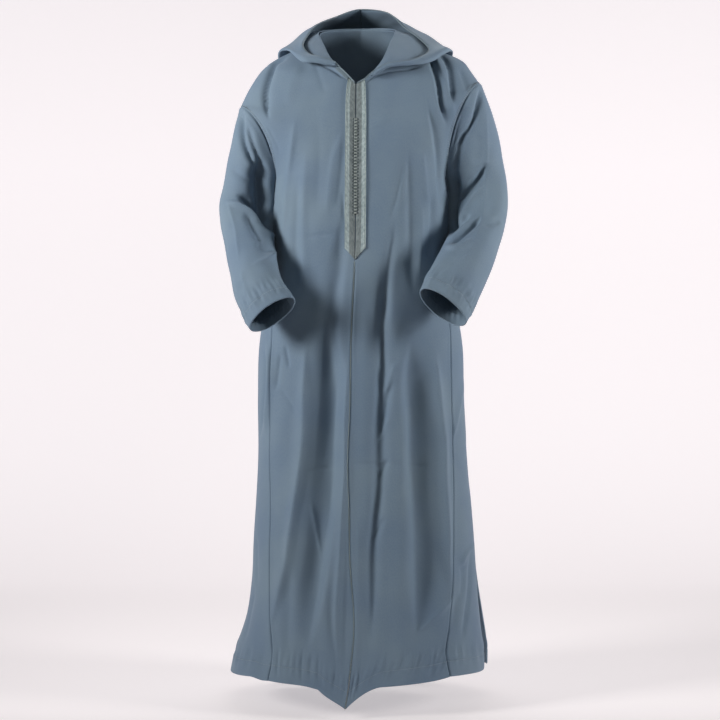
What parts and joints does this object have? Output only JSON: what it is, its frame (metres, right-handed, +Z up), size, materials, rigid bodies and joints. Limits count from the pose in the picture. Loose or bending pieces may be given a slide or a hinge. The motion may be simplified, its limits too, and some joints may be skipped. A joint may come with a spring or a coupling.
{
  "type": "hooded djellaba robe",
  "caption": "Ankle-length hooded djellaba in plain slate cloth, with long sleeves, side gores, a braided neck slit closed by knotted buttons, side slits and the hood lying on the back.",
  "frame": {"origin": "midway between the shoulders, at the height where the cloth rests on them", "axes": "+Z up along the body, -Y to the front of the robe, +X to the wearer's left"},
  "size_m": [0.6399, 0.4801, 1.5406],
  "materials": {
    "robe_cloth": "matte wool-blend twill",
    "braid": "matte woven cord braid",
    "knot_thread": "matte twisted thread"
  },
  "bodies": {
    "root": {"back": "robe_cloth", "front_right": "robe_cloth", "gore_right": "robe_cloth", "sleeve_right": "robe_cloth", "hood_right": "robe_cloth", "placket_right": "braid", "edging_right": "braid", "front_left": "robe_cloth", "gore_left": "robe_cloth", "sleeve_left": "robe_cloth", "hood_left": "robe_cloth", "placket_left": "braid", "edging_left": "braid", "neck_braid_right": "braid", "knot_01": "knot_thread", "knot_02": "knot_thread", "knot_03": "knot_thread", "knot_04": "knot_thread", "knot_05": "knot_thread", "knot_06": "knot_thread", "knot_07": "knot_thread", "knot_08": "knot_thread", "knot_09": "knot_thread", "knot_10": "knot_thread", "knot_11": "knot_thread", "knot_12": "knot_thread", "knot_13": "knot_thread", "knot_14": "knot_thread", "knot_15": "knot_thread", "knot_16": "knot_thread", "knot_17": "knot_thread", "knot_18": "knot_thread", "knot_19": "knot_thread", "knot_20": "knot_thread", "knot_21": "knot_thread", "knot_22": "knot_thread", "knot_23": "knot_thread", "knot_24": "knot_thread", "knot_25": "knot_thread", "knot_26": "knot_thread", "knot_27": "knot_thread", "knot_28": "knot_thread", "knot_29": "knot_thread", "knot_30": "knot_thread", "knot_31": "knot_thread"}
  },
  "joints": []
}
